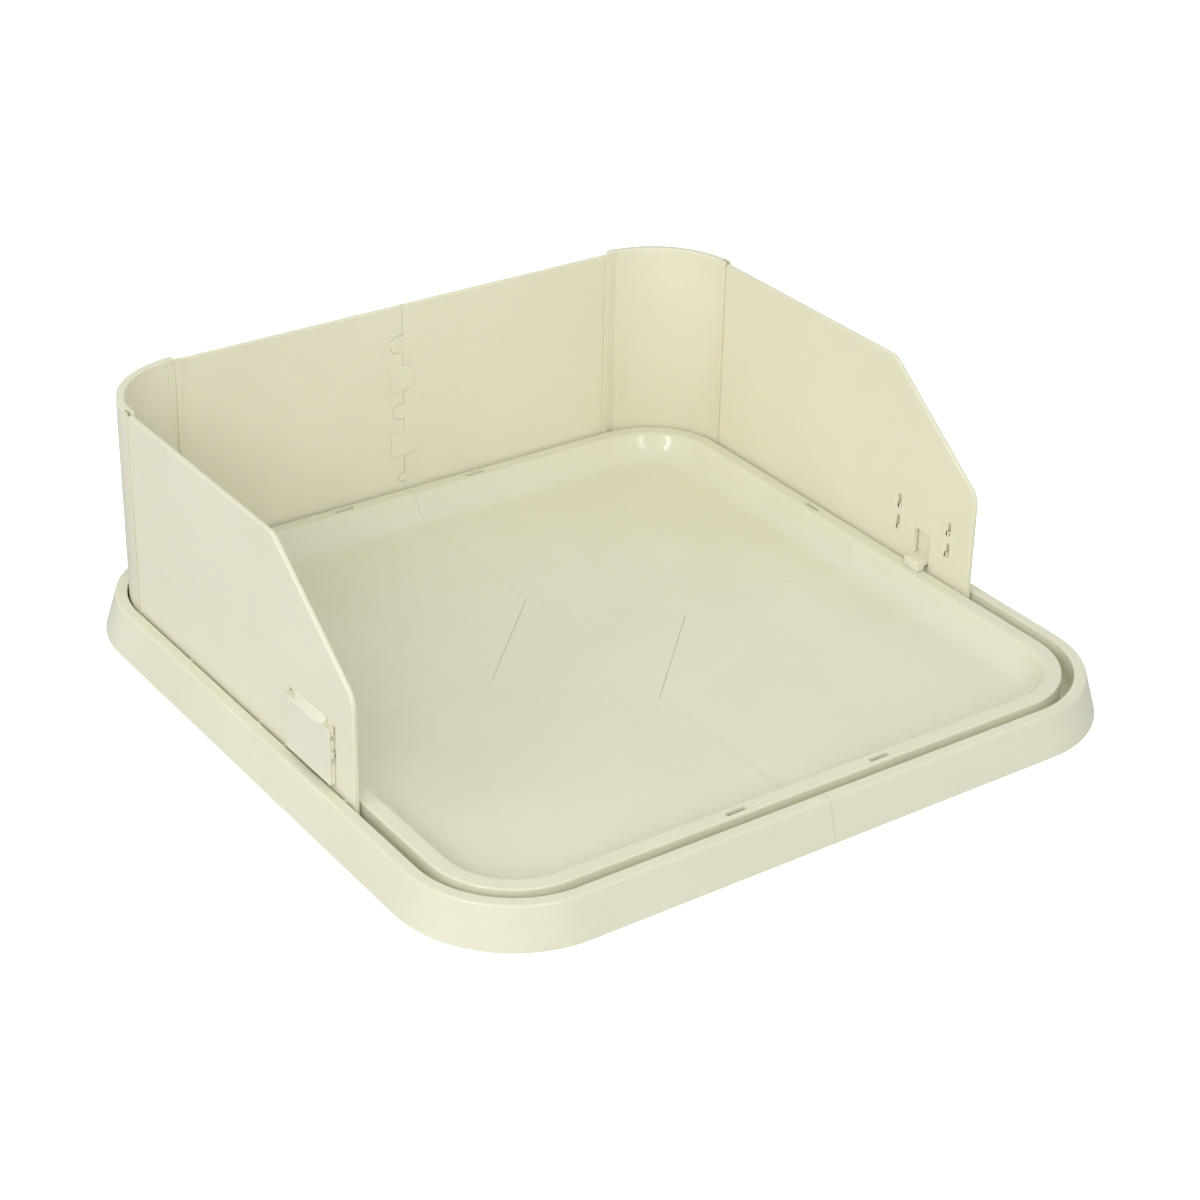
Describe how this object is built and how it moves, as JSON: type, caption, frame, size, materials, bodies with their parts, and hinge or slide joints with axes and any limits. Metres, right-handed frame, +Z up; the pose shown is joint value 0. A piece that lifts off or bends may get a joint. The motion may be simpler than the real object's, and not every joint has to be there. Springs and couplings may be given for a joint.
{
  "type": "pet toilet tray with splash walls",
  "caption": "Low square pet toilet tray in joined sections, with an upright splash wall round the back and sides, cut down towards the open front, and a sliding latch on each side.",
  "frame": {"origin": "middle of the square footprint, on the ground", "axes": "+Z up, +Y to the back wall, +X to the right side panel"},
  "size_m": [0.68, 0.68, 0.225],
  "materials": {
    "tray": "cream moulded polypropylene, satin",
    "wall": "cream moulded polypropylene, satin",
    "latch": "cream moulded polypropylene, satin"
  },
  "bodies": {
    "tray": {"back_right_tray": "tray", "back_left_tray": "tray", "front_left_tray": "tray", "front_right_tray": "tray", "centre_lock_plate": "tray"},
    "back_wall": {"back_right_corner_panel": "wall", "back_left_corner_panel": "wall", "back_right_panel": "wall", "back_left_panel": "wall"},
    "right_side": {"right_side_panel": "wall"},
    "left_side": {"left_side_panel": "wall"},
    "right_latch": {"right_latch": "latch"},
    "left_latch": {"left_latch": "latch"}
  },
  "joints": [
    {"name": "back_wall_lift", "type": "slide", "parent": "tray", "child": "back_wall", "axis": [0, 0, 1], "range_m": [0, 0.06]},
    {"name": "right_side_lift", "type": "slide", "parent": "back_wall", "child": "right_side", "axis": [0, 0, 1], "range_m": [0, 0.2]},
    {"name": "left_side_lift", "type": "slide", "parent": "back_wall", "child": "left_side", "axis": [0, 0, 1], "range_m": [0, 0.2]},
    {"name": "right_latch_slide", "type": "slide", "parent": "right_side", "child": "right_latch", "axis": [0, 0, 1], "range_m": [0, 0.008]},
    {"name": "left_latch_slide", "type": "slide", "parent": "left_side", "child": "left_latch", "axis": [0, 0, 1], "range_m": [0, 0.008]}
  ]
}
